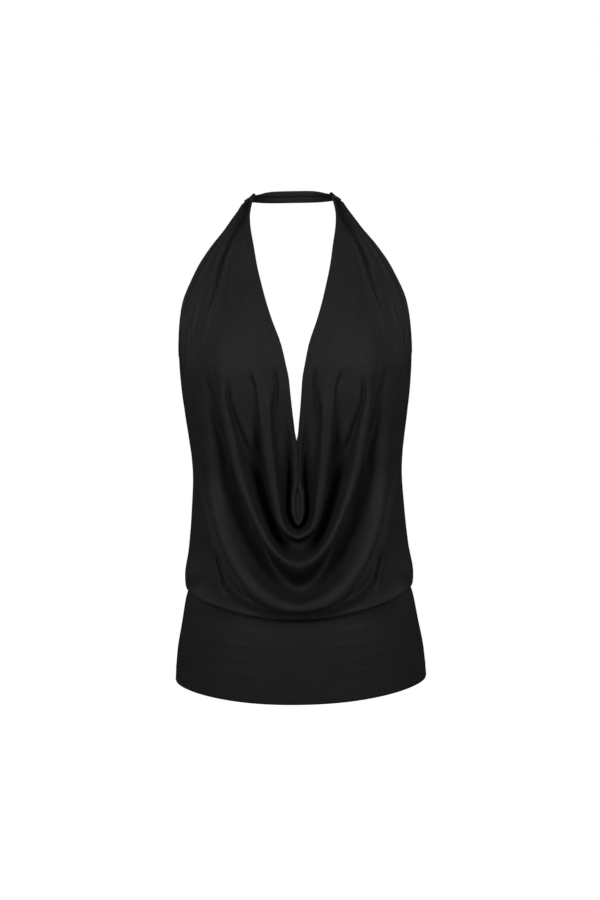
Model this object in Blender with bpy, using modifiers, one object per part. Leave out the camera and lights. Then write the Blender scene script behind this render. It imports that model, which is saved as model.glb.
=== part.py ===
"""Halter neck top in black slinky jersey, holding the shape it has when worn.

One wide front panel hangs from a narrow strap behind the neck. It fans out over the bust and falls
into U-shaped cowl folds, the lowest of which blouses over a wide, flared hip band. The back is low.
Pieces: front_drape, back_panel, hip_band_front, hip_band_back and neck_strap.

Frame: the front faces -Y, +X is to the viewer's right and +Z is up. The origin is the inner face of
the strap at the nape of the neck. Tables are in millimetres, and everything else is in metres.
"""
import math

import bpy
import numpy as np

for leftover in list(bpy.data.objects):
    bpy.data.objects.remove(leftover)

NAME = "halter_neck_top"
MM = 0.001
CLOTH = 0.0012          # wall of the jersey
BLACK = (0.012, 0.012, 0.013)
ROUGHNESS = 0.55
SEAM_GAP = 0.0004       # left between two pieces at a seam
MERGE = 0.00005         # how near the centre line two mirrored points become one
STEPS = 12              # places worked out between two points of a smooth curve
BEND_PULL = 0.8         # how hard a bend is pulled along its two end directions

# The worn form, one ring for each height. A ring is a superellipse about (0, side_y).
# height, half_width, side_y, front_y, back_y, squareness
FORM = (
    (10, 64, -38, -50, 0, 2.0),
    (-12, 82, -42, -72, 2, 2.0),
    (-34, 102, -48, -94, 10, 2.0),
    (-55, 118, -54, -111, 20, 2.0),
    (-97, 142, -60, -135, 45, 2.0),
    (-138, 152.5, -62, -160, 55, 2.2),
    (-188, 153.5, -60, -184, 56, 2.5),
    (-218, 153, -60, -191, 52, 2.6),
    (-266, 148.5, -60, -187, 38, 2.6),
    (-314, 141.6, -60, -186, 24, 2.5),
    (-362, 138.3, -60, -187, 15, 2.3),
    (-410, 141, -60, -190, 20, 2.3),
    (-459, 145.6, -60, -196, 32, 2.2),
    (-500, 152, -60, -201, 42, 2.2),
    (-512, 150.5, -60, -202, 44, 2.2),
    (-545, 150.5, -60, -202, 44, 2.2),
)

# The seam between the front panel and the strap, at the side of the neck: x, y, z of its two ends.
NECK_SEAM_UPPER = (49.5, -32.0, 3.5)
NECK_SEAM_LOWER = (63.5, -32.0, -4.0)

# The two edges of the front panel from the crest beside the neck to the bust, at matching places.
# neckline_x, neckline_z, armhole_x, armhole_z
CHEST_EDGES = (
    (52, 4, 64.5, -5.5),
    (55, -10, 70, -14),
    (55.5, -34, 84.5, -34),
    (51, -62, 108.5, -64),
    (42, -108, 135, -108),
    (28.5, -155, 150, -156),
    (17, -187, 152.8, -189),
    (12, -210, 153.2, -210),
)

# The front panel's fold lines, from the neckline out to the side and bottom seams. Each runs from the
# strap down the chest to the bust line, down the side by quarters to its turn, and round to the middle.
# share of the strap's width, x at the bust, x at the three quarters, turn_x, turn_z, low_x, low_z, middle_z
BUST_Z = -210
FOLD_PATHS = {
    "neckline":      (0.00, 12.0, 5.4, 1.6, 1.5, 3.8, -402, 2.8, -412, -417),
    "neckline_hem":  (0.09, 20.0, 13.0, 8.6, 8.5, 10.5, -404, 7.0, -417, -423),
    "first_valley":  (0.18, 26.0, 19.0, 13.5, 13.5, 15.5, -408, 10.0, -423, -428),
    "first_fold":    (0.28, 51.0, 44.0, 37.7, 31.3, 23.0, -410, 13.0, -425, -431),
    "second_valley": (0.38, 64.0, 53.5, 50.5, 52.5, 40.0, -413, 24.0, -436, -442),
    "second_fold":   (0.49, 102.0, 89.0, 80.0, 65.5, 44.5, -424, 24.0, -454, -464),
    "third_valley":  (0.59, 119.0, 105.0, 93.0, 77.0, 53.0, -471, 26.0, -496, -508),
    "third_fold":    (0.68, 130.0, 122.0, 110.0, 96.5, 66.0, -480, 32.0, -512, -519),
    "side_valley":   (0.76, 135.0, 130.5, 118.0, 108.5, 81.0, -484, 40.0, -520, -527),
    "side_fold":     (0.84, 139.5, 139.0, 126.5, 113.5, 90.0, -490, 48.0, -525, -533),
    "blouse_lip":    (0.92, 152.4, 145.1, 137.7, 142.3, 150.2, -508, 75.0, -532.5, -542),
    "seam":          (1.00, 153.2, 145.8, 138.4, 143.3, 150.5, -512, 75.0, -518.5, -524),
}

# How far each line stands out from the worn form, on the chest and at the same places as above.
# chest, bust, first, second and third quarter, turn, low, middle
FOLD_RELIEF = {
    "neckline":      (0, 0, 0, -3, -9, -16, -18, -18),
    "neckline_hem":  (0, 0, 0, -3, -10, -17, -18, -18),
    "first_valley":  (0, 0, -1, -8, -24, -36, -37, -36),
    "first_fold":    (1, 1, 4, 5, 3, 0, -1, -1),
    "second_valley": (-1, -1, -4, -8, -16, -27, -28, -28),
    "second_fold":   (2.5, 2, 5, 7, 9, 10, 11, 12),
    "third_valley":  (-2.5, -3, -6, -9, -13, -16, -18, -20),
    "third_fold":    (1.5, 0, 1, 4, 9, 14, 19, 20),
    "side_valley":   (-1, -1, -2, -3, -3, 0, 8, 11),
    "side_fold":     (1, 1, 2, 2, 3, 5, 9, 10),
    "blouse_lip":    (0, 0, 0, 0, 0.5, 2, 4, 3),
    "seam":          (0, 0, 0, 0, 0, 0, -11, -12),
}
ROWS_BETWEEN_LINES = (2, 2, 4, 4, 4, 5, 5, 3, 2, 4, 2)
CHEST_PLAIN, CHEST_RISE = 0.15, 0.5     # shares of the chest before the folds start, and as they grow
CHEST_COLUMN_PLACES = (0, 0.025, 0.05, 0.08, 0.12, 0.18, 0.27, 0.4, 0.57, 0.77, 1)
CHEST_COLUMNS = len(CHEST_COLUMN_PLACES) - 1
SIDE_COLUMNS = 8
BOTTOM_COLUMNS = 12

# The hip band by its share of the depth: half_width, front_y, back_y
BAND_RINGS = (
    (0.00, 150.0, -189.0, 43.5),
    (0.12, 151.6, -187.5, 46.0),
    (0.38, 157.0, -186.0, 50.0),
    (0.70, 164.3, -182.0, 56.0),
    (1.00, 167.6, -175.0, 60.0),
)
BAND_SIDE_Y = -60
BAND_SQUARENESS = 2.15
BAND_TOP_SIDE, BAND_TOP_FRONT, BAND_TOP_BACK = -512.0, -524.6, -516.5
HEM_SIDE, HEM_FRONT, HEM_BACK = -641.0, -655.0, -649.0
BAND_COLUMNS = 18
BAND_ROWS = 6

# The back panel's top edge falls from the underarm to the small of the back.
BACK_TOP_SIDE, BACK_TOP_MIDDLE = -200.0, -395.0
BACK_TOP_SCOOP = 1.6
BACK_BLOUSE = 4.0       # how far the back stands out over the band
BACK_BLOUSE_DEPTH = 22.0
BACK_COLUMNS = 14
BACK_ROWS = 10

# The strap behind the neck
STRAP_WIDTH = 16.0
STRAP_COLUMNS = 12
STRAP_ROWS = 2


# ---------------------------------------------------------------- curves and the worn form

def spline(points, steps=STEPS):
    """A smooth curve through the points that never overshoots them, with steps places to each stretch."""
    p = np.asarray(points, float)
    gaps = np.linalg.norm(np.diff(p, axis=0), axis=1)[:, None]
    slopes = np.diff(p, axis=0) / gaps
    tangents = np.vstack([slopes[:1], np.zeros_like(p[1:-1]), slopes[-1:]])
    before, after = slopes[:-1], slopes[1:]
    same_way = before * after > 0
    weights = (2 * gaps[1:] + gaps[:-1], gaps[1:] + 2 * gaps[:-1])
    inverse = weights[0] / np.where(same_way, before, 1) + weights[1] / np.where(same_way, after, 1)
    tangents[1:-1] = np.where(same_way, (weights[0] + weights[1]) / inverse, 0)
    t = (np.arange(steps) / steps)[:, None]
    curve = [
        (2 * t**3 - 3 * t**2 + 1) * p[i] + (t**3 - 2 * t**2 + t) * gaps[i] * tangents[i]
        + (3 * t**2 - 2 * t**3) * p[i + 1] + (t**3 - t**2) * gaps[i] * tangents[i + 1]
        for i in range(len(p) - 1)
    ]
    return np.vstack(curve + [p[-1:]])


def along(curve, shares):
    """The places at the given shares of the curve's length."""
    run = np.concatenate([[0.0], np.cumsum(np.linalg.norm(np.diff(curve, axis=0), axis=1))])
    at = np.asarray(shares) * run[-1]
    return np.stack([np.interp(at, run, curve[:, axis]) for axis in range(curve.shape[1])], axis=1)


FORM_CURVE = spline(FORM)


def ring(z):
    """half_width, side_y, front_y, back_y and squareness of the worn form at the height z."""
    return [np.interp(-z, -FORM_CURVE[:, 0], FORM_CURVE[:, column]) for column in range(1, 6)]


def on_front(x, z, relief=0.0):
    """The point of the worn form's front at x and z, moved out by relief."""
    half_width, side_y, front_y, _, n = ring(z)
    across = min(abs(x) / half_width, 1.0)
    depth = (1 - across**n) ** (1 / n)
    out = np.array([across ** (n - 1) / half_width, -(depth ** (n - 1)) / (side_y - front_y)])
    out = out / np.linalg.norm(out) * relief
    return np.array([x + out[0], side_y - (side_y - front_y) * depth + out[1], z])


def band_top(turn, front):
    """The seam above the hip band, from the side seam (turn 0) to the middle (a quarter turn)."""
    _, half_width, front_y, back_y = BAND_RINGS[0]
    end_y, middle_z = (front_y, BAND_TOP_FRONT) if front else (back_y, BAND_TOP_BACK)
    return np.array([
        half_width * max(0.0, math.cos(turn)) ** (2 / BAND_SQUARENESS),
        BAND_SIDE_Y + (end_y - BAND_SIDE_Y) * math.sin(turn) ** (2 / BAND_SQUARENESS),
        BAND_TOP_SIDE + (middle_z - BAND_TOP_SIDE) * math.sin(turn) ** 2,
    ])


# ---------------------------------------------------------------- the front panel

def bend(start, end, leaving, arriving):
    """A curve between two points that leaves and arrives in the given directions."""
    length = BEND_PULL * np.linalg.norm(end - start)
    t = (np.arange(STEPS) / STEPS)[:, None]
    return (
        (2 * t**3 - 3 * t**2 + 1) * start + (t**3 - 2 * t**2 + t) * length * leaving
        + (3 * t**2 - 2 * t**3) * end + (t**3 - t**2) * length * arriving
    )


def fold_line(name):
    """One fold line in three stretches: down the chest, down the side, and round to the middle.

    It is drawn as x (as a share of the worn form's half width), z and relief, and then laid on the form.
    """
    share, *xs, turn_x, turn_z, low_x, low_z, middle_z = FOLD_PATHS[name]
    chest_relief, *side_relief, turn_relief, low_relief, middle_relief = FOLD_RELIEF[name]
    edges = np.array(CHEST_EDGES, float)
    bust_share = (xs[0] - edges[-1, 0]) / (edges[-1, 2] - edges[-1, 0])
    stations = []
    for k, (in_x, in_z, out_x, out_z) in enumerate(edges[:-1]):
        down = k / (len(edges) - 1)
        s = share + (bust_share - share) * down
        relief = chest_relief * math.sin(math.pi / 2 * min(1, max(0, (down - CHEST_PLAIN) / CHEST_RISE)))
        stations.append((in_x + (out_x - in_x) * s, in_z + (out_z - in_z) * s, relief))
    bust = len(stations)
    for quarter, (x, relief) in enumerate(zip(xs + [turn_x], side_relief + [turn_relief])):
        z = BUST_Z + (turn_z - BUST_Z) * quarter / 4
        stations.append((ring(z)[0] if name == "seam" else x, z, relief))
    turn = len(stations) - 1
    stations += [(low_x, low_z, low_relief), (0, middle_z, middle_relief), (-low_x, low_z, low_relief)]
    drawn = spline([(x / ring(z)[0] / MM, z, relief) for x, z, relief in stations])
    line = np.array([on_front(x * ring(z)[0] * MM, z, relief) for x, z, relief in drawn])
    upper, lower = np.array(NECK_SEAM_UPPER), np.array(NECK_SEAM_LOWER)
    onward = (line[1] - line[0]) / np.linalg.norm(line[1] - line[0])
    crest = bend(upper + (lower - upper) * share, line[0], np.array([0.0, -1.0, 0.0]), onward)
    bust, turn, middle = STEPS * bust, STEPS * turn, STEPS * (turn + 2)
    bottom = line[turn : middle + 1]
    if name == "seam":
        bottom = np.array([band_top(t, True) for t in np.linspace(0, math.pi / 2, 4 * BOTTOM_COLUMNS + 1)])
    return np.vstack([
        along(np.vstack([crest, line[: bust + 1]]), CHEST_COLUMN_PLACES),
        along(line[bust : turn + 1], np.linspace(0, 1, SIDE_COLUMNS + 1))[1:],
        along(bottom, np.linspace(0, 1, BOTTOM_COLUMNS + 1))[1:],
    ])


def front_drape_half():
    lines = np.array([fold_line(name) for name in FOLD_PATHS])
    columns = []
    for c in range(lines.shape[1]):
        across = spline(lines[:, c])
        places = [
            STEPS * (i + k / rows)
            for i, rows in enumerate(ROWS_BETWEEN_LINES) for k in range(rows)
        ] + [STEPS * len(ROWS_BETWEEN_LINES)]
        columns.append([
            [np.interp(at, np.arange(len(across)), across[:, axis]) for axis in range(3)] for at in places
        ])
    grid = np.array(columns)
    grid[-1, :, 0] = 0.0
    grid[0, :, 1] -= SEAM_GAP / 2 / MM
    grid[CHEST_COLUMNS:, -1, 1] -= SEAM_GAP / 2 / MM
    grid[CHEST_COLUMNS + SIDE_COLUMNS:, -1, 2] += SEAM_GAP / MM
    return grid


# ---------------------------------------------------------------- the other pieces

def quarter_ring(half_width, side_y, end_y, n, turns):
    """Points from the side seam (turn 0) to the middle of the front or back (a quarter turn)."""
    x = half_width * np.cos(turns) ** (2 / n)
    y = side_y + (end_y - side_y) * np.sin(turns) ** (2 / n)
    x[-1] = 0.0
    return x, y


def hip_band_half(front):
    hem = HEM_FRONT if front else HEM_BACK
    rings = spline(BAND_RINGS)
    turns = np.linspace(0, math.pi / 2, BAND_COLUMNS + 1)
    top = np.array([band_top(turn, front)[2] for turn in turns])
    bottom = HEM_SIDE + (hem - HEM_SIDE) * np.sin(turns) ** 2
    grid = []
    for share in np.linspace(0, 1, BAND_ROWS + 1):
        half_width, front_y, back_y = [np.interp(share, rings[:, 0], rings[:, k]) for k in (1, 2, 3)]
        end_y = front_y if front else back_y
        x, y = quarter_ring(half_width, BAND_SIDE_Y, end_y, BAND_SQUARENESS, turns)
        grid.append(np.stack([x, y, top + (bottom - top) * share], axis=1))
    grid = np.array(grid)
    grid[:, 0, 1] += (-1 if front else 1) * SEAM_GAP / 2 / MM
    grid[0, :, 2] -= SEAM_GAP / 2 / MM
    return grid


def back_panel_half():
    grid = []
    for row in range(BACK_ROWS + 1):
        down = row / BACK_ROWS
        points = []
        for column in range(BACK_COLUMNS + 1):
            s = column / BACK_COLUMNS
            top = BACK_TOP_SIDE + (BACK_TOP_MIDDLE - BACK_TOP_SIDE) * (1 - (1 - s) ** BACK_TOP_SCOOP)
            bottom = BAND_TOP_SIDE + (BAND_TOP_BACK - BAND_TOP_SIDE) * math.sin(s * math.pi / 2) ** 2
            z = top + (bottom - top) * down
            half_width, side_y, _, back_y, n = ring(z)
            near = max(0.0, 1 - (z - bottom) / BACK_BLOUSE_DEPTH)
            puff = BACK_BLOUSE * math.sin(math.pi * near) * math.sin(s * math.pi / 2)
            turn = s * math.pi / 2
            x = half_width * math.cos(turn) ** (2 / n) if column < BACK_COLUMNS else 0.0
            y = side_y + (back_y - side_y + puff) * math.sin(turn) ** (2 / n)
            points.append((x, y, z))
        grid.append(points)
    grid = np.array(grid)
    grid[:, 0, 1] += SEAM_GAP / 2 / MM
    grid[-1, :, 2] += SEAM_GAP / 2 / MM
    return grid


def neck_strap_half():
    """The strap's outer face, from the seam at the side of the neck to the nape."""
    upper, lower = np.array(NECK_SEAM_UPPER), np.array(NECK_SEAM_LOWER)
    middle, lean = (upper + lower) / 2, (upper - lower) / np.linalg.norm(upper - lower)
    nape = np.array([0.0, CLOTH / MM, 0.0])
    grid = []
    for column in range(STRAP_COLUMNS + 1):
        turn = column / STRAP_COLUMNS * math.pi / 2
        back = math.sin(turn)
        centre = np.array([
            middle[0] * math.cos(turn),
            middle[1] + (nape[1] - middle[1]) * back,
            middle[2] + (nape[2] - middle[2]) * back**2,
        ])
        across = lean * (1 - back**2) + np.array([0.0, 0.0, 1.0]) * back**2
        across *= STRAP_WIDTH / 2 / np.linalg.norm(across)
        grid.append([centre + across * (1 - 2 * row / STRAP_ROWS) for row in range(STRAP_ROWS + 1)])
    grid = np.array(grid)
    grid[-1, :, 0] = 0.0
    grid[0, :, 1] += SEAM_GAP / 2 / MM
    return grid


# ---------------------------------------------------------------- making the objects

def jersey(name):
    material = bpy.data.materials.new(name)
    material.use_nodes = True
    shader = material.node_tree.nodes["Principled BSDF"]
    shader.inputs["Base Color"].default_value = (*BLACK, 1)
    shader.inputs["Roughness"].default_value = ROUGHNESS
    shader.inputs["Metallic"].default_value = 0.0
    return material


def cloth_piece(name, grid, outward, collection):
    """A grid of points for one half, mirrored and thickened inwards into a wall of cloth."""
    rows, columns = grid.shape[:2]
    faces = [
        (r * columns + c, (r + 1) * columns + c, (r + 1) * columns + c + 1, r * columns + c + 1)
        for r in range(rows - 1) for c in range(columns - 1)
    ]
    mesh = bpy.data.meshes.new(name)
    mesh.from_pydata((grid.reshape(-1, 3) * MM).tolist(), [], faces)
    middle = mesh.polygons[len(mesh.polygons) // 2]
    if np.dot(middle.normal, outward) < 0:
        mesh.flip_normals()
    mesh.shade_smooth()
    piece = bpy.data.objects.new(name, mesh)
    collection.objects.link(piece)
    mirror = piece.modifiers.new("other_half", "MIRROR")
    mirror.use_clip = True
    mirror.merge_threshold = MERGE
    wall = piece.modifiers.new("wall", "SOLIDIFY")
    wall.thickness = CLOTH
    wall.offset = -1
    mesh.materials.append(jersey(name + "_jersey"))
    return piece


garment = bpy.data.collections.new(NAME)
bpy.context.scene.collection.children.link(garment)
FORWARD, BACKWARD = (0.3, -1, 0), (0.3, 1, 0)
cloth_piece("front_drape", front_drape_half(), FORWARD, garment)
cloth_piece("back_panel", back_panel_half(), BACKWARD, garment)
cloth_piece("hip_band_front", hip_band_half(True), FORWARD, garment)
cloth_piece("hip_band_back", hip_band_half(False), BACKWARD, garment)
cloth_piece("neck_strap", neck_strap_half(), BACKWARD, garment)
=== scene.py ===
"""Halter neck top in black slinky jersey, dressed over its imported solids.

The top keeps the hollow shape that it has when worn. The front faces -Y, +X is to the viewer's right and
+Z is up, and the origin is the inner face of the strap at the nape. Sizes of cloth are in millimetres, as
a pattern cutter gives them, and MM turns them into metres where a mesh is made.
"""
import math

import bpy
import numpy as np
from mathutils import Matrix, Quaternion, Vector


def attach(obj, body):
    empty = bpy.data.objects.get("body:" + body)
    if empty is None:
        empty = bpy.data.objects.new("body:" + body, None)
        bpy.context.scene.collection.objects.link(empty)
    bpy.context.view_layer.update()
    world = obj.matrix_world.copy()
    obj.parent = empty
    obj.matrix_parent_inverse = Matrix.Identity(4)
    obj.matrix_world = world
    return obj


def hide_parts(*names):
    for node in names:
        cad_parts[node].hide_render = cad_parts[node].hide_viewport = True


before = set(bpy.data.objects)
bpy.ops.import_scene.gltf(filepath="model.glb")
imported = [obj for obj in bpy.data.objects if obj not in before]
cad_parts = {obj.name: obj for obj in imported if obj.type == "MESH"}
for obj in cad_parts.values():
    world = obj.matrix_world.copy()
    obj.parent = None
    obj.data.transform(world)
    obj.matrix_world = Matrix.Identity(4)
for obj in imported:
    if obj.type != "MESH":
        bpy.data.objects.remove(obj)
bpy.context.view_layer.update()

# ------------------------------------------------------------------------------------ front drape
# One wide panel of viscose jersey. It is gathered into the strap, covers the bust and falls in U-shaped
# cowl folds under the deep neckline; the lowest one blouses over the hip band, into which it is sewn.
# Its neckline and armhole edges are turned under and coverstitched, and its seam allowances lie inside.
MM = 0.001
STEPS = 12              # places worked out between two points of a smooth curve
BEND_PULL = 0.8         # how hard a bend is pulled along its two end directions
SEAM_LAP = 0.4          # how far two pieces run into each other at a side seam
SEAM_TUCK = 1.4         # how far a body panel reaches down into the turned-in top of the hip band
JERSEY = 0.7            # thickness of one layer
TURNING = 1.7           # from the face of the cloth to the face of the layer turned under it
TURNED_ROWS = 4
HEM_DEPTH = 7.0         # of the narrow hems at the neckline and the armholes
HEM_ROWS = (3.2, 6.4)   # two needle rows, measured in from the edge
STITCH_PITCH, STITCH_LENGTH, STITCH_WIDTH = 2.8, 2.2, 0.45
STITCH_LIFT = 0.1       # how far the rows of stitches lie off the face of the cloth

# The worn form, one ring for each height. A ring is a superellipse about (0, side_y).
# height, half_width, side_y, front_y, back_y, squareness
FORM = (
    (10, 64, -38, -50, 0, 2.0),
    (-12, 82, -42, -72, 2, 2.0),
    (-34, 102, -48, -94, 10, 2.0),
    (-55, 118, -54, -111, 20, 2.0),
    (-97, 142, -60, -137, 45, 2.0),
    (-138, 152.5, -62, -163.5, 55, 2.2),
    (-188, 153.5, -60, -184, 56, 2.5),
    (-218, 153, -60, -189.8, 52, 2.6),
    (-242, 151.2, -60, -190.5, 45.5, 2.6),
    (-266, 148.5, -60, -189.5, 38, 2.6),
    (-314, 141.6, -60, -187, 24, 2.5),
    (-362, 138.3, -60, -187, 15, 2.3),
    (-410, 141, -60, -190, 20, 2.3),
    (-459, 145.6, -60, -196, 32, 2.2),
    (-500, 152, -60, -201, 42, 2.2),
    (-512, 150.5, -60, -202, 44, 2.2),
    (-545, 150.5, -60, -202, 44, 2.2),
)

# The seam between the front panel and the strap, at the side of the neck: x, y, z of its two ends.
NECK_SEAM_UPPER = (49.5, -32.0, 3.5)
NECK_SEAM_LOWER = (63.5, -32.0, -4.0)

# The two edges of the front panel from the crest beside the neck to the bust, at matching places.
# neckline_x, neckline_z, armhole_x, armhole_z
CHEST_EDGES = (
    (52, 4, 64.5, -5.5),
    (55, -10, 70, -14),
    (55.5, -34, 84.5, -34),
    (51, -62, 108.5, -64),
    (42, -108, 135, -108),
    (28.5, -155, 150, -156),
    (17, -187, 152.8, -189),
    (12, -210, 153.2, -210),
)

# The hip band's top seam, into which the panel is gathered
BAND_TOP = {"half_width": 150.0, "side_y": -60.0, "front_y": -189.0, "back_y": 43.5, "squareness": 2.15}
BAND_TOP_SIDE, BAND_TOP_FRONT, BAND_TOP_BACK = -512.0, -524.6, -516.5

# The folds, from the neckline to the side and bottom seams: ridges, the troughs between them and the minor
# ridges in the troughs. Each line has its share of the strap's width, the rows of cloth up to the next line,
# its places down the side of the bust and its places round to the middle. A place is x, z and how far
# the line stands out from the worn form.
FOLDS = {
    "neckline": (0.00, 9,
        ((12, -210, 0), (8.3, -229, -0.5), (6.4, -250, -1.2), (4.4, -272, -2.8), (2.4, -292, -6),
         (1.5, -306, -8.5), (1.3, -340, -14), (1.3, -362, -17), (2.4, -377, -18), (3.2, -392, -18.5)),
        ((3.0, -404, -18.5), (0, -411.5, -18.5))),
    "hem": (0.07, 6,
        ((20, -210, 0), (16.5, -225, 0.5), (15.5, -240, 0.5), (12.5, -255, 0), (10.6, -271, -1.2),
         (8.8, -295, -5.5), (8.2, -330, -12), (7.8, -370, -17), (8.8, -395, -17.5)),
        ((6.4, -409, -17.8), (0, -418, -18))),
    "neck_trough": (0.12, 6,
        ((26, -210, 0), (20.5, -240, 0), (17, -271, -2.2), (12.5, -295, -8.5), (11, -317, -17),
         (11, -340, -28), (12.5, -363, -36), (14, -385, -40), (14.5, -403, -41)),
        ((9.4, -416, -41), (0, -422.5, -40))),
    "neck_minor": (0.17, 6,
        ((29, -210, 0), (22, -240, -0.2), (21, -271, -2), (16, -300, -6.5), (17, -317, -9),
         (16.5, -340, -15), (16.8, -363, -22), (17.5, -385, -24), (16.2, -405, -24)),
        ((10.5, -418, -24), (0, -424, -24))),
    "strap_trough": (0.22, 8,
        ((34, -210, 0), (24.5, -232, -1.5), (25.5, -250, -3), (27.5, -271, -4.5), (25.5, -302, -6.5),
         (23.5, -332, -7.5), (22, -350, -7), (21.5, -363, -7), (20, -385, -7), (17.8, -406, -7)),
        ((11.5, -419, -7), (0, -425.5, -7))),
    "first_ridge": (0.28, 8,
        ((50, -210, 1), (46, -240, 3.5), (44.5, -257, 5.5), (41.5, -271, 7), (37.8, -302, 9),
         (35, -332, 10), (31, -363, 10), (26, -390, 9.5), (21.5, -410, 9)),
        ((15.2, -420.5, 8), (9, -427, 7), (0, -430, 6))),
    "first_trough": (0.33, 8,
        ((58, -210, 0.5), (54, -240, 0), (51.5, -271, -3), (50, -302, -12), (48, -325, -20),
         (46.5, -348, -28), (45, -363, -33), (42, -378, -35), (38, -394, -36), (33, -410, -37)),
        ((26, -424, -38), (17, -435, -38), (0, -442, -38))),
    "first_minor": (0.38, 7,
        ((70, -210, 0.8), (79, -240, 2.5), (78, -257, 3), (73, -271, 2), (63.5, -302, 0), (59, -325, -13),
         (55.5, -348, -26), (53, -363, -34), (49, -378, -36), (44.5, -394, -37), (38.5, -410, -37)),
        ((31, -427, -38), (20.5, -442, -38), (0, -450.5, -37))),
    "second_trough": (0.43, 7,
        ((82, -210, 0.6), (87, -240, 1), (86, -255, 0.5), (82, -271, -1), (73, -302, -8), (68, -325, -13),
         (62.5, -348, -16), (58.5, -363, -18), (54.5, -378, -18), (49, -394, -18), (42, -411, -18)),
        ((34.5, -430, -19), (23, -447, -19), (0, -457, -18))),
    "second_ridge": (0.48, 8,
        ((97, -210, 1.5), (92.5, -240, 3.5), (91, -255, 5), (88.5, -271, 6.5), (82.3, -302, 9),
         (75.5, -332, 11), (67.5, -363, 12), (58, -390, 12.5), (50, -410, 13), (42.5, -426, 13)),
        ((35.5, -437.5, 13.5), (27.5, -447.5, 13.5), (17.5, -457, 13.5), (8.5, -461.5, 13.5),
         (0, -463.2, 13.5))),
    "third_trough": (0.54, 8,
        ((104, -210, 0.7), (98, -240, 0.5), (96.5, -271, -1), (91, -302, -5), (85, -332, -8),
         (79.5, -363, -13), (75.5, -378, -17), (70, -394, -20), (62.5, -410, -22), (56, -425, -24),
         (49.5, -440, -26), (43.5, -455, -28)),
        ((34.5, -470, -30), (24, -483, -32), (12, -493, -33), (0, -498, -33))),
    "third_minor": (0.59, 7,
        ((110, -210, 0.6), (105, -240, -0.2), (101, -271, -3), (96, -302, -9), (90.5, -332, -17),
         (85.5, -363, -25), (82, -378, -28), (77, -394, -31), (70, -410, -32), (63, -425, -33),
         (56.5, -440, -34), (50, -456, -34)),
        ((42, -471, -33), (31, -486.5, -32), (17.5, -499, -30), (8, -504, -28), (0, -506, -27))),
    "fourth_trough": (0.64, 8,
        ((119, -210, 0), (113, -240, -2), (107.5, -255, -4), (105, -271, -6.5), (100, -302, -12),
         (96, -332, -19), (92.5, -363, -24), (89.5, -378, -25), (86, -394, -27), (77.5, -422, -27),
         (69.5, -440, -25), (62, -457, -22)),
        ((51.5, -476, -18), (38.5, -490.5, -13), (22.5, -503.5, -9), (10, -508.5, -7), (0, -510.5, -7))),
    "third_ridge": (0.70, 9,
        ((128, -210, 0.5), (124, -271, 0.5), (117, -302, 1), (111, -332, 4), (107.5, -363, 7),
         (103, -390, 10), (96.5, -413, 13), (87, -438, 16), (76, -461, 18)),
        ((61, -482.5, 19), (43, -499, 20), (24.5, -511.5, 20.5), (0, -517.5, 21))),
    "side_trough": (0.76, 8,
        ((134, -210, 0), (127, -271, -1), (121, -302, -2), (118, -363, -4), (114, -394, -6),
         (107.5, -425, -9), (99.5, -447, -10), (90.5, -468, -9)),
        ((77, -489.5, -8), (66, -504.5, -1.5), (48.5, -514, 5), (25, -521.5, 10), (0, -524, 12))),
    "side_ridge": (0.83, 7,
        ((138.5, -210, 3.5), (140.5, -235, 5.5), (140.5, -262, 6), (136, -310, 5.2), (133, -340, 4),
         (128.5, -370, 2.5), (122, -401, 1), (117.5, -431, -1), (110.5, -462, -2.5)),
        ((98, -485, -2), (84, -500.5, -0.5), (63, -514.5, 1.5), (30, -524.5, 4), (0, -527, 4.5))),
    "hip_trough": (0.89, 7,
        ((144.5, -210, -2.5), (146.2, -240, -4.5), (146, -262, -4.6), (141, -300, -3.6), (137, -340, -2.4),
         (133.5, -370, -1.2), (129.5, -400, -1.5), (124.5, -430, -3.5), (117, -462, -6), (112, -477, -6)),
        ((105.5, -490, -6), (96.5, -501, -6), (84, -511.5, -5.5), (58, -524, -4), (28, -530.5, -2.5),
         (0, -532, -2))),
    "blouse_lip": (0.95, 9,
        ((150, -210, 0), (149.5, -240, 0), (147.3, -271, 0), (141.7, -310, 0), (138.2, -345, 0),
         (137.3, -375, 0), (138.5, -410, 0.3), (142.3, -440, 0.5), (145.5, -470, 1), (148.5, -496, 1.5),
         (148.2, -506, 1.5)),
        ((138, -512.5, 2), (105, -522, 0.5), (67, -530.5, -3), (28, -536, -6.5), (0, -537, -7))),
    "seam": (1.00, 0,
        ((153, -210, 0), (0, -285, 0), (0, -360, 0), (0, -435, 0), (0, -512, 0)),
        ((0, -524, 0), (0, -524, 0))),
}
# Half the width of the round crown along each large ridge, at its side and at its lowest point
CROWNS = {"first_ridge": (8.0, 3.0), "second_ridge": (8.0, 3.4), "third_ridge": (7.5, 6.5)}
CROWN_TURN = 0.38       # how far, in radians, the cloth turns down on a crown
CROWN_ROOM = 0.6        # the share of the way to the next line that a crown may take
CROWN_ROWS = 2
LOWEST_COLUMNS = 10     # columns at the middle where a crown keeps the width of its lowest point
SOFTENINGS = 4          # rounds of softening across the folds
CHEST_PLAIN, CHEST_RISE = 0.15, 0.5     # shares of the chest before the folds start, and as they grow
CHEST_COLUMNS, SIDE_COLUMNS, BOTTOM_COLUMNS = 44, 44, 46
CHEST_CROWDING = 1.9    # the chest's columns crowd towards the strap by this power
LAP_TOP, LAP_END = -296.0, -380.0       # heights between which one neckline edge laps the other
LAP_RUN_IN, LAP_RUN_OUT = 26.0, 20.0    # the lengths over which the lap grows and ends
LAP_OVER, LAP_UNDER = 3.2, 2.4          # how far each edge crosses the middle, and the lower one lies behind
LAP_STRIPS = (0.9, 1.7)                 # strips in from the neckline where the lap fades out
LOOP_TOP, LOOP_FILLED, LOOP_FOOT = -350.0, -364.0, -407.5   # heights of the small loop where the lap ends
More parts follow.
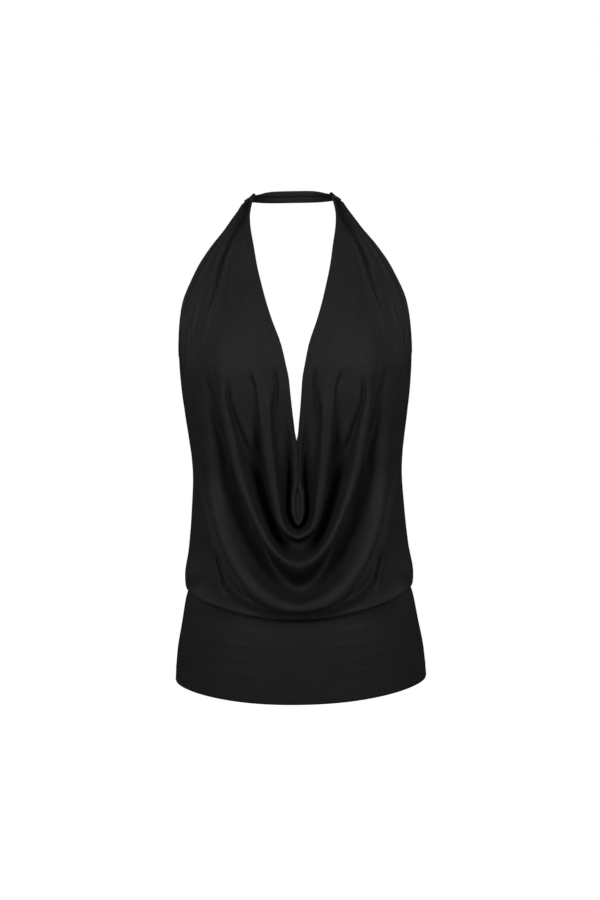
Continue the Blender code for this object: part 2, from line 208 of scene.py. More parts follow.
LOOP_REACH = 8.0                        # the edges of the loop lie within this of the middle
LOOP_SPREAD = 1.15                      # how far over the loop a turned layer spreads; 1 is to the middle
LOOP_APART = 0.5                        # the gap between the layers that spread from its two edges
CREASE_STRAIGHT = 1.0   # how far the cloth moves straight back in a crease, for 1 along its normal

# Creases laid on the panel. height (a trough is negative), half width, the shares of its length
# that it takes to fade in and to fade out, and its places x, z from the top down. Both halves have it.
DRAPE_CREASES = (
    # the pull from the neck to the side of the bust
    (-3.6, 3.6, 0.20, 0.60,
     ((57.5, -10), (61.5, -21), (66.5, -34), (71, -47), (78, -62), (87, -93), (91, -122))),
    (-2.4, 7.0, 0.30, 0.50, ((78, -62), (87, -93), (91.5, -125), (97, -155), (104, -178))),
    (2.0, 4.6, 0.20, 0.50,
     ((66, -26), (73, -38), (80, -52), (86, -68), (93, -89), (101, -120), (108, -150), (114, -180),
      (118, -200))),
    (-11.5, 4.4, 0.03, 0.55,
     ((58, 1), (61, -8), (66, -20), (74, -37), (83, -54), (91, -73), (98.5, -95), (106, -123), (114, -155),
      (122, -184))),
    (1.6, 5.5, 0.30, 0.25, ((119, -133), (127, -155), (136, -184), (139.5, -210), (139.5, -232))),
    (-3.0, 4.5, 0.30, 0.30, ((128, -140), (135, -158), (143.5, -186), (146, -212), (146, -240))),
    # short creases that start sharply below the bust
    (-2.2, 2.4, 0.20, 0.40, ((42, -214), (39.6, -225), (37, -240), (35.5, -256), (33, -268))),
    (-3.8, 2.2, 0.10, 0.40,
     ((26, -216), (25.5, -225), (24.3, -240), (26.5, -255), (28, -271), (27, -286), (26.8, -302),
      (26.5, -318))),
    (-4.0, 2.3, 0.10, 0.55,
     ((58.7, -222), (56, -232), (53.6, -240), (52.4, -255), (51, -271), (49.8, -286), (48.5, -302),
      (49, -315))),
    (-3.4, 2.3, 0.12, 0.65,
     ((88.5, -234), (87, -243), (85.6, -255), (81.7, -271), (76.6, -286), (72.8, -302), (70.2, -317),
      (66.4, -332))),
    (-4.5, 4.0, 0.25, 0.40,
     ((114, -232), (112.4, -240), (107.3, -256), (104.7, -271), (102.2, -286), (98.3, -302), (94.5, -317),
      (90.7, -332), (91, -348), (90, -363), (87, -378))),
    (-1.8, 5.5, 0.50, 0.40, ((119, -206), (116, -226), (111.5, -246), (107, -264))),
    # pinches beside the seam of the hip band
    (-10.5, 3.7, 0.35, 0.25, ((110, -452), (107, -467), (102, -483), (96.5, -497), (90, -509))),
    (-6.5, 3.0, 0.40, 0.30, ((129, -474), (130, -488), (125.5, -501))),
    (-1.6, 3.0, 0.40, 0.40, ((138, -462), (139, -478), (137, -494))),
)

# Fine gathers where the panel is sewn to the strap: how many, their height, and how far they run down
GATHERS, GATHER_HEIGHT, GATHER_RUN = 9, 0.6, 24.0


def spline(points):
    """A smooth curve through the points that never overshoots them, with STEPS places to each stretch."""
    p = np.asarray(points, float)
    gaps = np.linalg.norm(np.diff(p, axis=0), axis=1)[:, None]
    slopes = np.diff(p, axis=0) / gaps
    tangents = np.vstack([slopes[:1], np.zeros_like(p[1:-1]), slopes[-1:]])
    before, after = slopes[:-1], slopes[1:]
    same_way = before * after > 0
    weights = (2 * gaps[1:] + gaps[:-1], gaps[1:] + 2 * gaps[:-1])
    inverse = weights[0] / np.where(same_way, before, 1) + weights[1] / np.where(same_way, after, 1)
    tangents[1:-1] = np.where(same_way, (weights[0] + weights[1]) / inverse, 0)
    t = (np.arange(STEPS) / STEPS)[:, None]
    curve = [
        (2 * t**3 - 3 * t**2 + 1) * p[i] + (t**3 - 2 * t**2 + t) * gaps[i] * tangents[i]
        + (3 * t**2 - 2 * t**3) * p[i + 1] + (t**3 - t**2) * gaps[i] * tangents[i + 1]
        for i in range(len(p) - 1)
    ]
    return np.vstack(curve + [p[-1:]])


def run_of(curve):
    """The length of the curve up to each of its points."""
    return np.concatenate([[0.0], np.cumsum(np.linalg.norm(np.diff(curve, axis=0), axis=1))])


def along(curve, shares):
    """The places at the given shares of the curve's length."""
    run = run_of(curve)
    at = np.asarray(shares) * run[-1]
    return np.stack([np.interp(at, run, curve[:, axis]) for axis in range(curve.shape[1])], axis=1)


def smooth_step(value, start, end):
    """0 before start, 1 after end, and a soft rise between."""
    t = np.clip((value - start) / (end - start), 0, 1)
    return t * t * (3 - 2 * t)


FORM_CURVE = spline(FORM)


def ring(z):
    """half_width, side_y, front_y, back_y and squareness of the worn form at the height z."""
    return [np.interp(-z, -FORM_CURVE[:, 0], FORM_CURVE[:, column]) for column in range(1, 6)]


def on_front(x, z, relief):
    """The point of the worn form's front at x and z, moved out by relief."""
    half_width, side_y, front_y, _, n = ring(z)
    across = min(abs(x) / half_width, 1.0)
    depth = (1 - across**n) ** (1 / n)
    out = np.array([across ** (n - 1) / half_width, -(depth ** (n - 1)) / (side_y - front_y)])
    out = out / np.linalg.norm(out) * relief
    return np.array([x + out[0], side_y - (side_y - front_y) * depth + out[1], z])


def band_top(turn, front):
    """The seam above the hip band, from the side seam (turn 0) to the middle (a quarter turn)."""
    n, side_y = BAND_TOP["squareness"], BAND_TOP["side_y"]
    end_y, middle_z = (BAND_TOP["front_y"], BAND_TOP_FRONT) if front else (BAND_TOP["back_y"], BAND_TOP_BACK)
    return np.array([
        BAND_TOP["half_width"] * max(0.0, math.cos(turn)) ** (2 / n),
        side_y + (end_y - side_y) * math.sin(turn) ** (2 / n),
        BAND_TOP_SIDE + (middle_z - BAND_TOP_SIDE) * math.sin(turn) ** 2,
    ])


def bend(start, end, leaving, arriving):
    """A curve between two points that leaves and arrives in the given directions."""
    length = BEND_PULL * np.linalg.norm(end - start)
    t = (np.arange(STEPS) / STEPS)[:, None]
    return (
        (2 * t**3 - 3 * t**2 + 1) * start + (t**3 - 2 * t**2 + t) * length * leaving
        + (3 * t**2 - 2 * t**3) * end + (t**3 - t**2) * length * arriving
    )


def fold_line(name):
    """One fold line in three stretches: down the chest, down the side, and round to the middle."""
    share, _, side, bottom = FOLDS[name]
    edges = np.array(CHEST_EDGES, float)
    bust_x, _, bust_relief = side[0]
    bust_share = (bust_x - edges[-1, 0]) / (edges[-1, 2] - edges[-1, 0])
    stations = []
    for k, (in_x, in_z, out_x, out_z) in enumerate(edges[:-1]):
        down = k / (len(edges) - 1)
        s = share + (bust_share - share) * down
        rise = math.sin(math.pi / 2 * min(1, max(0, (down - CHEST_PLAIN) / CHEST_RISE)))
        stations.append((in_x + (out_x - in_x) * s, in_z + (out_z - in_z) * s, bust_relief * rise))
    bust = len(stations)
    stations += [(ring(z)[0] if name == "seam" else x, z, relief) for x, z, relief in side]
    turn = len(stations) - 1
    stations += list(bottom)
    last_x, last_z, last_relief = bottom[-2]
    stations.append((-last_x, last_z, last_relief))
    if name == "seam":
        stations = stations[: turn + 1]
    drawn = spline([(x / ring(z)[0] / MM, z, relief) for x, z, relief in stations])
    line = np.array([on_front(x * ring(z)[0] * MM, z, relief) for x, z, relief in drawn])
    upper, lower = np.array(NECK_SEAM_UPPER), np.array(NECK_SEAM_LOWER)
    onward = (line[1] - line[0]) / np.linalg.norm(line[1] - line[0])
    crest = bend(upper + (lower - upper) * share, line[0], np.array([0.0, -1.0, 0.0]), onward)
    chest = along(np.vstack([crest, line[: STEPS * bust + 1]]),
                  np.linspace(0, 1, CHEST_COLUMNS + 1) ** CHEST_CROWDING)
    down = along(line[STEPS * bust : STEPS * turn + 1], np.linspace(0, 1, SIDE_COLUMNS + 1))
    if name == "seam":
        round_ = np.array([band_top(t, True) for t in np.linspace(0, math.pi / 2, 4 * BOTTOM_COLUMNS + 1)])
    else:
        round_ = line[STEPS * turn : STEPS * (turn + len(bottom)) + 1]
    return np.vstack([chest, down[1:], along(round_, np.linspace(0, 1, BOTTOM_COLUMNS + 1))[1:]])


def shoulder(crest, neighbour, other, crown):
    """The place beside a crest where its round crown ends, on the neighbour's side."""
    to_neighbour = (neighbour - crest) / np.linalg.norm(neighbour - crest, axis=1, keepdims=True)
    to_other = (other - crest) / np.linalg.norm(other - crest, axis=1, keepdims=True)
    across = to_neighbour - to_other
    across /= np.linalg.norm(across, axis=1, keepdims=True)
    level = np.sum(to_neighbour * across, axis=1, keepdims=True)
    falling = to_neighbour - across * level
    falling /= np.maximum(np.linalg.norm(falling, axis=1, keepdims=True), 1e-6)
    room = np.sum((neighbour - crest) * across, axis=1, keepdims=True)
    width = np.minimum(crown, CROWN_ROOM * room)
    turned = np.minimum(np.arccos(np.clip(level, -1, 1)), CROWN_TURN)
    return crest + across * width + falling * width * np.tan(turned / 2)


def with_crowns(lines, rows):
    """The fold lines and their rows, with a shoulder line added on both sides of each large ridge."""
    names = list(FOLDS)
    wide, counts = [lines[0]], []
    columns = lines.shape[1]
    lowest = smooth_step(np.arange(columns), CHEST_COLUMNS + SIDE_COLUMNS, columns - LOWEST_COLUMNS)[:, None]
    for i in range(1, len(lines)):
        crowned = [
            CROWNS[name][0] + (CROWNS[name][1] - CROWNS[name][0]) * lowest if name in CROWNS else None
            for name in names[i - 1 : i + 1]
        ]
        if crowned[0] is not None:
            wide.append(shoulder(lines[i - 1], lines[i], lines[i - 2], crowned[0]))
            counts.append(CROWN_ROWS)
        left = rows[i - 1] - (CROWN_ROWS if crowned[0] is not None else 0)
        if crowned[1] is not None:
            wide.append(shoulder(lines[i], lines[i - 1], lines[i + 1], crowned[1]))
            counts += [left - CROWN_ROWS, CROWN_ROWS]
        else:
            counts.append(left)
        wide.append(lines[i])
    return np.array(wide), counts


def across_folds(lines):
    """Rows of cloth from the neckline to the seam, for every column of the fold lines."""
    lines, rows = with_crowns(lines, [fold[1] for fold in FOLDS.values()][:-1])
    places = [STEPS * (i + k / n) for i, n in enumerate(rows) for k in range(n)] + [STEPS * len(rows)]
    grid = []
    for c in range(lines.shape[1]):
        curve = spline(lines[:, c])
        at = np.arange(len(curve))
        grid.append(np.stack([np.interp(places, at, curve[:, axis]) for axis in range(3)], axis=1))
    grid = np.array(grid)
    for _ in range(SOFTENINGS):
        grid[:, 1:-1] = (grid[:, :-2] + 2 * grid[:, 1:-1] + grid[:, 2:]) / 4
    return grid


def outward_of(grid):
    """The unit normal at each place of a grid whose normals point away from the wearer."""
    normal = np.cross(np.gradient(grid, axis=1), np.gradient(grid, axis=0))
    return normal / np.maximum(np.linalg.norm(normal, axis=2, keepdims=True), 1e-9)


def crease(grid, outward, creases, facing=-1):
    """Moves the cloth out along each ridge and in along each trough, fading at both ends.

    facing is -1 on the front and 1 on the back. The cloth moves halfway between its own normal and straight
    out from the body.
    """
    flat = grid.reshape(-1, 3)
    lift = np.zeros(len(flat))
    for height, half_width, fade_in, fade_out, path in creases:
        for side in (-1, 1):
            places = []
            for x, z in spline(path):
                away = np.hypot(flat[:, 0] - side * x, flat[:, 2] - z)
                near = np.flatnonzero(away < away.min() + half_width / 2)
                places.append((side * x, flat[near, 1][np.argmax(flat[near, 1] * facing)], z))
            places = np.array(places)
            for _ in range(2 * STEPS):
                places[1:-1, 1] = (places[:-2, 1] + places[2:, 1]) / 2
            run = run_of(places) / run_of(places)[-1]
            strength = smooth_step(run, -0.02, fade_in) * (1 - smooth_step(run, 1 - fade_out, 1.02))
            gap = np.linalg.norm(flat[:, None] - places[None], axis=2)
            lift += height * np.max(np.exp(-((gap / half_width) ** 2)) * strength, axis=1)
    way = outward + np.array([0.0, facing * CREASE_STRAIGHT, 0.0])
    way /= np.linalg.norm(way, axis=2, keepdims=True)
    return grid + way * lift.reshape(grid.shape[:2])[:, :, None]


def gathered(grid, outward):
    """The panel with its fine uneven gathers, which fade away from both ends of the strap."""
    run = run_of(grid[:, grid.shape[1] // 2])
    fade = np.exp(-np.minimum(run, run[-1] - run) / GATHER_RUN)[:, None]
    share = np.array([run_of(column) / run_of(column)[-1] for column in grid])
    uneven = 0.3 * np.sin(7 * share)        # some gathers lie closer together than others
    wave = np.sin(2 * math.pi * (GATHERS * share + uneven))
    return grid + outward * (GATHER_HEIGHT * fade * wave)[:, :, None]


def front_drape_points():
    """The panel's outer face, as columns from the left strap seam, down and round, to the right one."""
    half = across_folds(np.array([fold_line(name) for name in FOLDS]))
    half[-1, :, 0] = 0.0
    half[0, :, 1] += SEAM_LAP / 2
    half[CHEST_COLUMNS:, -1, 1] += SEAM_LAP / 2
    half[CHEST_COLUMNS + SIDE_COLUMNS:, -1, 2] -= SEAM_TUCK
    strip = np.arange(half.shape[1]) / FOLDS["neckline"][1]
    laps = smooth_step(half[:, :, 2], LAP_TOP, LAP_TOP - LAP_RUN_IN)
    laps = laps * smooth_step(half[:, :, 2], LAP_END, LAP_END + LAP_RUN_OUT)
    laps = laps * (1 - smooth_step(strip, *LAP_STRIPS))[None, :]
    right, left = half.copy(), half * (-1, 1, 1)
    left[:, :, 0] += LAP_OVER * laps
    right[:, :, 1] += LAP_UNDER * laps
    right[:, :, 0] -= LAP_OVER * laps
    return np.vstack([left, right[-2::-1]])


def turn_under(grid, outward, first_depth, last_depth):
    """Adds the layer turned under at each of the two long edges, and rounds the fold between the layers."""
    turned = []
    for rows, depth in ((grid, first_depth), (grid[:, ::-1], last_depth)):
        normals = outward if rows is grid else outward[:, ::-1]
        under = []
        for column, normal in zip(rows, normals):
            run = run_of(column)
            at = np.linspace(1.0, depth, TURNED_ROWS)
            place = np.stack([np.interp(at, run, column[:, k]) for k in range(3)], axis=1)
            away = np.stack([np.interp(at, run, normal[:, k]) for k in range(3)], axis=1)
            under.append(place - away * TURNING)
        turned.append(np.array(under))
    grid = grid.copy()
    grid[:, 0] -= outward[:, 0] * TURNING / 2
    grid[:, -1] -= outward[:, -1] * TURNING / 2
    return np.concatenate([turned[0][:, ::-1], grid, turned[1]], axis=1)


def inside_edge(grid, outward, inset, last_edge=False):
    """The line of stitches on the face, the given distance inside one of its long edges."""
    if last_edge:
        grid, outward = grid[:, ::-1], outward[:, ::-1]
    path = []
    for column, normal in zip(grid, outward):
        run = run_of(column)
        place = [np.interp(inset, run, column[:, k]) for k in range(3)]
        away = [np.interp(inset, run, normal[:, k]) for k in range(3)]
        path.append(np.array(place) + np.array(away) * STITCH_LIFT)
    return np.array(path)


def fill_loop(grid):
    """Where the lap opens into a small loop, the layer turned under spreads out to the middle behind it."""
    edge = grid[:, TURNED_ROWS]
    filled = smooth_step(edge[:, 2], LOOP_TOP, LOOP_FILLED) * (np.abs(edge[:, 0]) < LOOP_REACH)
    behind = np.where(edge[:, 0] > 0, TURNING, TURNING + LOOP_APART)
    foot = np.maximum(edge[:, 2], LOOP_FOOT)
    middle = np.stack([np.zeros(len(edge)), edge[:, 1] + behind, foot], axis=1)
    for row in range(TURNED_ROWS):
        spread = LOOP_SPREAD * (TURNED_ROWS - row) / TURNED_ROWS
        place = edge + (middle - edge) * (spread, 1, spread)
        grid[:, row] += (place - grid[:, row]) * filled[:, None]
    return grid


def cloth_mesh(name, grid):
    """A thin shell over the grid, with its own map in metres: u along a column, v from column to column."""
    columns, rows = grid.shape[:2]
    faces = [
        (c * rows + r, c * rows + r + 1, (c + 1) * rows + r + 1, (c + 1) * rows + r)
        for c in range(columns - 1) for r in range(rows - 1)
    ]
    mesh = bpy.data.meshes.new(name)
    mesh.from_pydata((grid.reshape(-1, 3) * MM).tolist(), [], faces)
    middle = grid[:, rows // 2]
    down = np.repeat(run_of(middle)[:, None], rows, axis=1)
    across = np.array([run_of(column) for column in grid])
    across = across - across[:, rows // 2 : rows // 2 + 1]
    places = np.stack([across, down], axis=2).reshape(-1, 2) * MM
    layer = mesh.uv_layers.new(name="cloth")
    corners = np.zeros(len(mesh.loops), int)
    mesh.loops.foreach_get("vertex_index", corners)
    layer.data.foreach_set("uv", places[corners].ravel())
    mesh.shade_smooth()
    piece = bpy.data.objects.new(name, mesh)
    bpy.context.scene.collection.objects.link(piece)
    wall = piece.modifiers.new("one_layer", "SOLIDIFY")
    wall.thickness = JERSEY * MM
    wall.offset = -1
    return piece


def jersey_knit():
    """The look of fine slinky jersey, as a group: its colour, roughness and height from its own map."""
    group = bpy.data.node_groups.new("jersey_knit", "ShaderNodeTree")
    values = (("Wale", 0.0006), ("Course", 0.0005), ("Black", 0.0185), ("Grey", 0.0275), ("Gloss", 0.52))
    for name, value in values:
        socket = group.interface.new_socket(name, in_out="INPUT", socket_type="NodeSocketFloat")
        socket.default_value = value
    group.interface.new_socket("Colour", in_out="OUTPUT", socket_type="NodeSocketColor")
    for socket in ("Roughness", "Knit", "Unevenness"):
        group.interface.new_socket(socket, in_out="OUTPUT", socket_type="NodeSocketFloat")
    nodes, links = group.nodes, group.links
    given, put_out = nodes.new("NodeGroupInput"), nodes.new("NodeGroupOutput")

    def math_node(operation, first, second=None):
        node = nodes.new("ShaderNodeMath")
        node.operation = operation
        for socket, value in zip(node.inputs, (first, second)):
            if isinstance(value, bpy.types.NodeSocket):
                links.new(value, socket)
            elif value is not None:
                socket.default_value = value
        return node.outputs[0]

    place = nodes.new("ShaderNodeUVMap")
    place.uv_map = "cloth"
    split = nodes.new("ShaderNodeSeparateXYZ")
    links.new(place.outputs["UV"], split.inputs[0])
    wale = math_node("DIVIDE", split.outputs["X"], given.outputs["Wale"])
    leg = math_node("ABSOLUTE", math_node("SUBTRACT", math_node("FRACT", wale), 0.5))
    course = math_node("DIVIDE", split.outputs["Y"], given.outputs["Course"])
    loops = math_node("SINE", math_node("MULTIPLY", math_node("ADD", course, leg), 2 * math.pi))
    rib = math_node("SUBTRACT", 1.0, math_node("MULTIPLY", leg, math_node("MULTIPLY", leg, 4.0)))
    links.new(math_node("ADD", rib, math_node("MULTIPLY", loops, 0.3)), put_out.inputs["Knit"])

    body = nodes.new("ShaderNodeTexCoord")
    clouds = nodes.new("ShaderNodeTexNoise")
    clouds.inputs["Scale"].default_value = 38.0
    clouds.inputs["Detail"].default_value = 4.0
    links.new(body.outputs["Object"], clouds.inputs["Vector"])
    links.new(clouds.outputs["Fac"], put_out.inputs["Unevenness"])
    grain = nodes.new("ShaderNodeTexNoise")
    grain.inputs["Scale"].default_value = 420.0
    grain.inputs["Detail"].default_value = 2.0
    links.new(body.outputs["Object"], grain.inputs["Vector"])
    shade = nodes.new("ShaderNodeMapRange")
    shade.inputs["From Min"].default_value = 0.42
    shade.inputs["From Max"].default_value = 0.98
    links.new(math_node("ADD", math_node("MULTIPLY", clouds.outputs["Fac"], 0.4), grain.outputs["Fac"]),
              shade.inputs["Value"])
    links.new(given.outputs["Black"], shade.inputs["To Min"])
    links.new(given.outputs["Grey"], shade.inputs["To Max"])
    colour = nodes.new("ShaderNodeCombineColor")
    for channel in ("Red", "Green", "Blue"):
        links.new(shade.outputs["Result"], colour.inputs[channel])
    links.new(colour.outputs["Color"], put_out.inputs["Colour"])
    softer = math_node("MULTIPLY", math_node("SUBTRACT", clouds.outputs["Fac"], 0.5), 0.12)
    links.new(math_node("ADD", softer, given.outputs["Gloss"]), put_out.inputs["Roughness"])
    return group


def stitch_tree():
    """Geometry nodes that lay one straight stitch on every pitch of a path."""
    tree = bpy.data.node_groups.new("stitch_rows", "GeometryNodeTree")
    tree.interface.new_socket("Path", in_out="INPUT", socket_type="NodeSocketGeometry")
    for socket in ("Pitch", "Length", "Radius"):
        tree.interface.new_socket(socket, in_out="INPUT", socket_type="NodeSocketFloat")
    tree.interface.new_socket("Thread", in_out="INPUT", socket_type="NodeSocketMaterial")
    tree.interface.new_socket("Stitches", in_out="OUTPUT", socket_type="NodeSocketGeometry")
    nodes, links = tree.nodes, tree.links
    given, put_out = nodes.new("NodeGroupInput"), nodes.new("NodeGroupOutput")
    curve = nodes.new("GeometryNodeMeshToCurve")
    places = nodes.new("GeometryNodeResampleCurve")
    places.mode = "LENGTH"
    stitch = nodes.new("GeometryNodeMeshCylinder")
    stitch.inputs["Vertices"].default_value = 6
    lie = nodes.new("FunctionNodeAlignRotationToVector")
    lie.axis = "Z"
    tangent = nodes.new("GeometryNodeInputTangent")
    laid = nodes.new("GeometryNodeInstanceOnPoints")
    real = nodes.new("GeometryNodeRealizeInstances")
    thread = nodes.new("GeometryNodeSetMaterial")
    links.new(given.outputs["Path"], curve.inputs["Mesh"])
    links.new(curve.outputs["Curve"], places.inputs["Curve"])
    links.new(given.outputs["Pitch"], places.inputs["Length"])
    links.new(given.outputs["Length"], stitch.inputs["Depth"])
    links.new(given.outputs["Radius"], stitch.inputs["Radius"])
    links.new(tangent.outputs["Tangent"], lie.inputs["Vector"])
    links.new(places.outputs["Curve"], laid.inputs["Points"])
    links.new(stitch.outputs["Mesh"], laid.inputs["Instance"])
    links.new(lie.outputs["Rotation"], laid.inputs["Rotation"])
    links.new(laid.outputs["Instances"], real.inputs["Geometry"])
    links.new(real.outputs["Geometry"], thread.inputs["Geometry"])
    links.new(given.outputs["Thread"], thread.inputs["Material"])
    links.new(thread.outputs["Geometry"], put_out.inputs["Stitches"])
    return tree


KNIT = jersey_knit()
STITCH_ROWS = stitch_tree()


def stitches(name, paths):
    """One mesh with the stitches of all the paths."""
    mesh = bpy.data.meshes.new(name)
    starts = np.cumsum([0] + [len(path) for path in paths])
    edges = [(start + k, start + k + 1) for start, path in zip(starts, paths) for k in range(len(path) - 1)]
    mesh.from_pydata((np.vstack(paths) * MM).tolist(), edges, [])
    piece = bpy.data.objects.new(name, mesh)
    bpy.context.scene.collection.objects.link(piece)
    rows = piece.modifiers.new("rows", "NODES")
    rows.node_group = STITCH_ROWS
    given = {
        "Pitch": STITCH_PITCH * MM,
        "Length": STITCH_LENGTH * MM,
        "Radius": STITCH_WIDTH / 2 * MM,
        "Thread": THREAD,
    }
    for item in STITCH_ROWS.interface.items_tree:
        if item.name in given:
            rows[item.identifier] = given[item.name]
    bpy.context.view_layer.update()
    made = bpy.data.meshes.new_from_object(piece.evaluated_get(bpy.context.evaluated_depsgraph_get()))
    piece.modifiers.remove(rows)
    piece.data = made
    made.name = name
    made.materials.clear()
    made.materials.append(THREAD)
    return piece


def jersey(name):
    """The material of a piece of the jersey: the knit over soft unevenness, with little shine."""
    material = bpy.data.materials.new(name)
    material.use_nodes = True
    nodes, links = material.node_tree.nodes, material.node_tree.links
    shader = nodes["Principled BSDF"]
    shader.inputs["Specular IOR Level"].default_value = 0.10
    knit = nodes.new("ShaderNodeGroup")
    knit.node_tree = KNIT
    soft, fine = nodes.new("ShaderNodeBump"), nodes.new("ShaderNodeBump")
    soft.inputs["Strength"].default_value = 0.3
    soft.inputs["Distance"].default_value = 0.0012
    fine.inputs["Strength"].default_value = 0.25
    fine.inputs["Distance"].default_value = 0.00008
    links.new(knit.outputs["Unevenness"], soft.inputs["Height"])
    links.new(soft.outputs["Normal"], fine.inputs["Normal"])
    links.new(knit.outputs["Knit"], fine.inputs["Height"])
    links.new(fine.outputs["Normal"], shader.inputs["Normal"])
    links.new(knit.outputs["Colour"], shader.inputs["Base Color"])
    links.new(knit.outputs["Roughness"], shader.inputs["Roughness"])
    return material


def sewing_thread():
    """The material of the sewing thread, a shade paler and more matt than the cloth."""
    material = bpy.data.materials.new("black_thread")
    material.use_nodes = True
    shader = material.node_tree.nodes["Principled BSDF"]
    shader.inputs["Base Color"].default_value = (0.04, 0.04, 0.04, 1)
    shader.inputs["Roughness"].default_value = 0.7
    shader.inputs["Specular IOR Level"].default_value = 0.1
    return material


THREAD = sewing_thread()
drape_face = front_drape_points()
drape_outward = outward_of(drape_face)
drape_face = gathered(crease(drape_face, drape_outward, DRAPE_CREASES), drape_outward)
drape_outward = outward_of(drape_face)
front_drape = cloth_mesh(
    "front_drape_cloth", fill_loop(turn_under(drape_face, drape_outward, HEM_DEPTH, HEM_DEPTH)))
front_drape.data.materials.append(jersey("drape_jersey"))
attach(front_drape, "root")
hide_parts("front_drape")
sewn = [inside_edge(drape_face, drape_outward, inset) for inset in HEM_ROWS]
for inset in HEM_ROWS:
    armholes = inside_edge(drape_face, drape_outward, inset, last_edge=True)
    sewn += [armholes[:CHEST_COLUMNS], armholes[-CHEST_COLUMNS:]]
drape_stitches = stitches("front_drape_stitches", sewn)
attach(drape_stitches, "root")

# ------------------------------------------------------------------------------------ back panel
# One plain panel of the same jersey, cut low in a scoop from the armholes to the small of the back. Its top
# edge is turned under and coverstitched; it is sewn to the front at the sides and eased into the hip band.
BACK_COLUMNS, BACK_ROWS = 76, 64        # of one half
BACK_TOP_SIDE, BACK_TOP_MIDDLE, BACK_TOP_SCOOP = -200.0, -395.0, 1.6
BACK_BLOUSE, BACK_BLOUSE_DEPTH = 4.0, 22.0
BACK_CREASES = (
    (1.8, 9.0, 0.30, 0.50, ((136, -318), (118, -352), (96, -384), (70, -408), (44, -420))),
    (-1.6, 7.0, 0.35, 0.45, ((137, -338), (119, -376), (94, -410), (62, -434), (34, -442))),
    (2.0, 9.0, 0.30, 0.50, ((139, -372), (120, -410), (92, -440), (56, -458), (22, -463))),
    (-1.8, 7.5, 0.30, 0.50, ((140, -398), (122, -434), (94, -462), (60, -478), (30, -482))),
    (1.5, 8.0, 0.25, 0.55, ((143, -430), (124, -462), (96, -484), (70, -494))),
    (1.4, 5.0, 0.40, 0.30, ((30, -508), (32, -494), (37, -478))),
    (-1.4, 4.5, 0.40, 0.35, ((58, -508), (61, -494), (68, -480))),
    (1.3, 5.0, 0.40, 0.30, ((86, -507), (90, -492), (97, -478))),
    (-1.3, 4.5, 0.40, 0.35, ((112, -506), (115, -493), (119, -482))),
)


def back_panel_points():
    """The panel's outer face, as columns from the +X side seam round the back to the other one."""
    half = []
    for s in np.linspace(0, 1, BACK_COLUMNS + 1):
        round_ = math.sin(s * math.pi / 2)
        top = BACK_TOP_SIDE + (BACK_TOP_MIDDLE - BACK_TOP_SIDE) * (1 - (1 - s) ** BACK_TOP_SCOOP)
        bottom = BAND_TOP_SIDE + (BAND_TOP_BACK - BAND_TOP_SIDE) * round_**2 - SEAM_TUCK
        column = []
        for z in np.linspace(top, bottom, BACK_ROWS + 1):
            half_width, side_y, _, back_y, n = ring(z)
            near = max(0.0, 1 - (z - bottom) / BACK_BLOUSE_DEPTH)
            puff = BACK_BLOUSE * math.sin(math.pi * near) * round_
            x = half_width * max(0.0, math.cos(s * math.pi / 2)) ** (2 / n)
            column.append((x, side_y + (back_y - side_y + puff) * round_ ** (2 / n), z))
        half.append(column)
    half = np.array(half)
    half[0, :, 1] -= SEAM_LAP / 2
    half[-1, :, 0] = 0.0
    return np.vstack([half, (half * (-1, 1, 1))[-2::-1]])


back_face = back_panel_points()
back_face = crease(back_face, outward_of(back_face), BACK_CREASES, facing=1)
back_outward = outward_of(back_face)
back_panel = cloth_mesh("back_panel_cloth", turn_under(back_face, back_outward, HEM_DEPTH, HEM_DEPTH))
back_panel.data.materials.append(jersey("back_jersey"))
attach(back_panel, "root")
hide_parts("back_panel")
back_sewn = [inside_edge(back_face, back_outward, inset) for inset in HEM_ROWS]
back_stitches = stitches("back_panel_stitches", back_sewn)
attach(back_stitches, "root")

# ------------------------------------------------------------------------------------ hip band
# Two flared panels of the same jersey, front and back, joined at the side seams below the body panels. The
# band is held taut on the hips, so it only has faint lines of tension. Its hem is turned under 21 mm and
# stitched with a twin needle.
BAND_COLUMNS, BAND_ROWS = 76, 56        # of one half
BAND_HEM, BAND_HEM_ROWS = 21.0, (16.6, 19.8)    # its depth, and its two needle rows up from the edge
# share of the band's depth, half_width, front_y, back_y
BAND_RINGS = (
    (0.00, 150.0, -189.0, 43.5),
    (0.035, 147.6, -179.5, 40.8),
    (0.11, 150.6, -181.5, 44.2),
    (0.38, 157.0, -186.0, 50.0),
    (0.70, 164.3, -182.0, 56.0),
    (1.00, 167.6, -175.0, 60.0),
)
HEM_SIDE, HEM_FRONT, HEM_BACK = -638.0, -651.5, -646.0
BAND_CREASES = (
    (0.5, 3.5, 0.40, 0.50, ((36, -556), (64, -555), (92, -551), (112, -545))),
    (0.6, 3.2, 0.35, 0.50, ((22, -575), (56, -574), (90, -570), (122, -562))),
    (0.5, 3.0, 0.40, 0.45, ((40, -594), (74, -592), (104, -588), (134, -580))),
    (0.6, 3.4, 0.40, 0.50, ((28, -612), (60, -611), (98, -607), (128, -600))),
    (0.4, 3.0, 0.40, 0.50, ((50, -628), (84, -626), (118, -620))),
)


